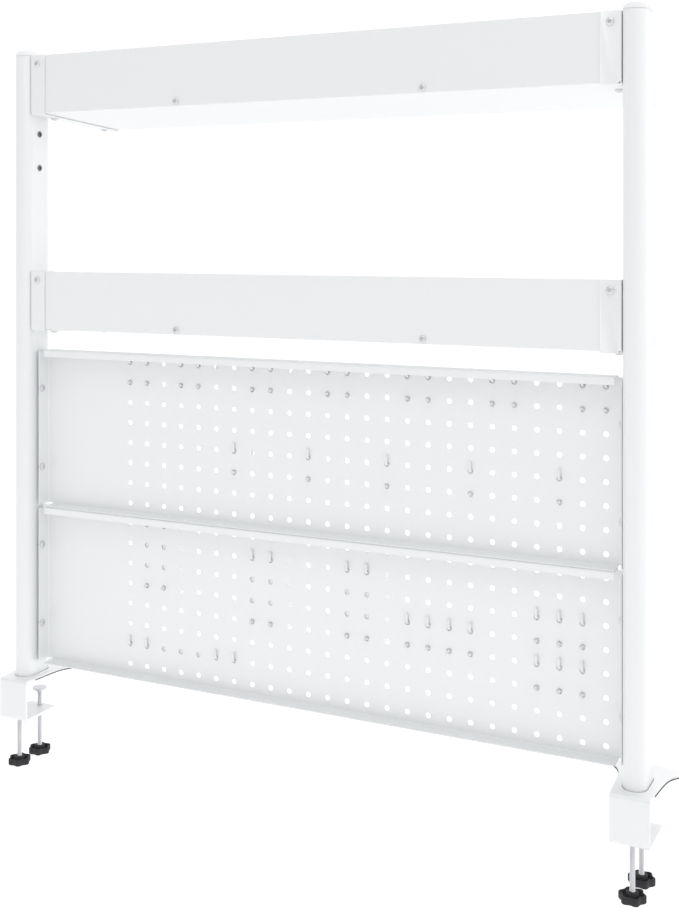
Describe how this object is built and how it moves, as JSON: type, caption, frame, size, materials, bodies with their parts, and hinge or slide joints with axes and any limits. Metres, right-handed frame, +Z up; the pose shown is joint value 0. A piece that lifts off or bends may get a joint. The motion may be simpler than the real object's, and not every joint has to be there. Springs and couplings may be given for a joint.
{
  "type": "pegboard tool wall",
  "caption": "Clamp-on desk tool wall: posts on desk-edge screw clamps carry stacked pegboards with hooks, cups and bins, and shelves above them.",
  "frame": {"origin": "middle of the desk edge between the two clamps, in the plane of the desk top", "axes": "+Z up, -Y towards the person at the desk, +X along the desk edge to the end with the blank strip of board"},
  "size_m": [0.875, 0.1853, 0.9194],
  "materials": {
    "white_powder_coat": "fine white powder coat on sheet steel and tube, satin",
    "white_holder_coat": "white powder coat on thin hooks and holders, satin",
    "white_cap_plastic": "white moulded plastic",
    "zinc_plated_steel": "bright zinc-plated screws, rods and pads",
    "black_knob_plastic": "black moulded plastic, fine grain"
  },
  "bodies": {
    "root": {"pegboard_lower": "white_powder_coat", "board_screw_lower_left_low": "zinc_plated_steel", "board_screw_lower_left_high": "zinc_plated_steel", "board_screw_lower_right_low": "zinc_plated_steel", "board_screw_lower_right_high": "zinc_plated_steel", "pegboard_upper": "white_powder_coat", "board_screw_upper_left_low": "zinc_plated_steel", "board_screw_upper_left_high": "zinc_plated_steel", "board_screw_upper_right_low": "zinc_plated_steel", "board_screw_upper_right_high": "zinc_plated_steel", "post_left": "white_powder_coat", "post_cap_left": "white_cap_plastic", "post_foot_bolt_left": "zinc_plated_steel", "post_right": "white_powder_coat", "post_cap_right": "white_cap_plastic", "post_foot_bolt_right": "zinc_plated_steel", "shelf_middle_tray": "white_powder_coat", "shelf_middle_back_panel": "white_powder_coat", "shelf_middle_bracket_left": "white_powder_coat", "shelf_middle_bracket_right": "white_powder_coat", "shelf_top_tray": "white_powder_coat", "shelf_top_back_panel": "white_powder_coat", "shelf_top_bracket_left": "white_powder_coat", "shelf_top_bracket_right": "white_powder_coat", "clamp_left": "white_powder_coat", "clamp_right": "white_powder_coat", "double_hook_1": "white_holder_coat", "double_hook_2": "white_holder_coat", "double_hook_3": "white_holder_coat", "double_hook_4": "white_holder_coat", "double_hook_5": "white_holder_coat", "double_hook_6": "white_holder_coat", "double_hook_7": "white_holder_coat", "single_hook_1": "white_holder_coat", "single_hook_2": "white_holder_coat", "single_hook_3": "white_holder_coat", "single_hook_4": "white_holder_coat", "single_hook_5": "white_holder_coat", "row_hook_1": "white_holder_coat", "row_hook_2": "white_holder_coat", "row_hook_3": "white_holder_coat", "row_hook_4": "white_holder_coat", "tool_cup_1": "white_holder_coat", "tool_cup_2": "white_holder_coat", "tool_cup_3": "white_holder_coat", "parts_bin_upper": "white_holder_coat", "parts_bin_lower": "white_holder_coat", "tool_rack": "white_holder_coat"},
    "clamp_pad_left_rear_body": {"clamp_pad_left_rear": "zinc_plated_steel"},
    "clamp_screw_left_rear_body": {"clamp_rod_left_rear": "zinc_plated_steel", "clamp_knob_left_rear": "black_knob_plastic"},
    "clamp_pad_left_front_body": {"clamp_pad_left_front": "zinc_plated_steel"},
    "clamp_screw_left_front_body": {"clamp_rod_left_front": "zinc_plated_steel", "clamp_knob_left_front": "black_knob_plastic"},
    "clamp_pad_right_rear_body": {"clamp_pad_right_rear": "zinc_plated_steel"},
    "clamp_screw_right_rear_body": {"clamp_rod_right_rear": "zinc_plated_steel", "clamp_knob_right_rear": "black_knob_plastic"},
    "clamp_pad_right_front_body": {"clamp_pad_right_front": "zinc_plated_steel"},
    "clamp_screw_right_front_body": {"clamp_rod_right_front": "zinc_plated_steel", "clamp_knob_right_front": "black_knob_plastic"}
  },
  "joints": [
    {"name": "clamp_pad_left_rear_slide", "type": "slide", "parent": "root", "child": "clamp_pad_left_rear_body", "axis": [0, 0, 1], "range_m": [-0.0169, 0.0214]},
    {"name": "clamp_screw_left_rear_turn", "type": "hinge", "parent": "clamp_pad_left_rear_body", "child": "clamp_screw_left_rear_body", "pos_m": [0.3965, -0.01, -0.06], "axis": [0, 0, 1], "range_deg": [-6120, 7740]},
    {"name": "clamp_pad_left_front_slide", "type": "slide", "parent": "root", "child": "clamp_pad_left_front_body", "axis": [0, 0, 1], "range_m": [-0.0169, 0.0214]},
    {"name": "clamp_screw_left_front_turn", "type": "hinge", "parent": "clamp_pad_left_front_body", "child": "clamp_screw_left_front_body", "pos_m": [0.3965, -0.05, -0.06], "axis": [0, 0, 1], "range_deg": [-6120, 7740]},
    {"name": "clamp_pad_right_rear_slide", "type": "slide", "parent": "root", "child": "clamp_pad_right_rear_body", "axis": [0, 0, 1], "range_m": [-0.0169, 0.0214]},
    {"name": "clamp_screw_right_rear_turn", "type": "hinge", "parent": "clamp_pad_right_rear_body", "child": "clamp_screw_right_rear_body", "pos_m": [-0.3965, -0.01, -0.06], "axis": [0, 0, 1], "range_deg": [-6120, 7740]},
    {"name": "clamp_pad_right_front_slide", "type": "slide", "parent": "root", "child": "clamp_pad_right_front_body", "axis": [0, 0, 1], "range_m": [-0.0169, 0.0214]},
    {"name": "clamp_screw_right_front_turn", "type": "hinge", "parent": "clamp_pad_right_front_body", "child": "clamp_screw_right_front_body", "pos_m": [-0.3965, -0.05, -0.06], "axis": [0, 0, 1], "range_deg": [-6120, 7740]}
  ],
  "couplings": [
    {"joint": "clamp_screw_left_rear_turn", "follows": "clamp_pad_left_rear_slide", "rad_per_m": 6283.2},
    {"joint": "clamp_screw_left_front_turn", "follows": "clamp_pad_left_front_slide", "rad_per_m": 6283.2},
    {"joint": "clamp_screw_right_rear_turn", "follows": "clamp_pad_right_rear_slide", "rad_per_m": 6283.2},
    {"joint": "clamp_screw_right_front_turn", "follows": "clamp_pad_right_front_slide", "rad_per_m": 6283.2}
  ]
}
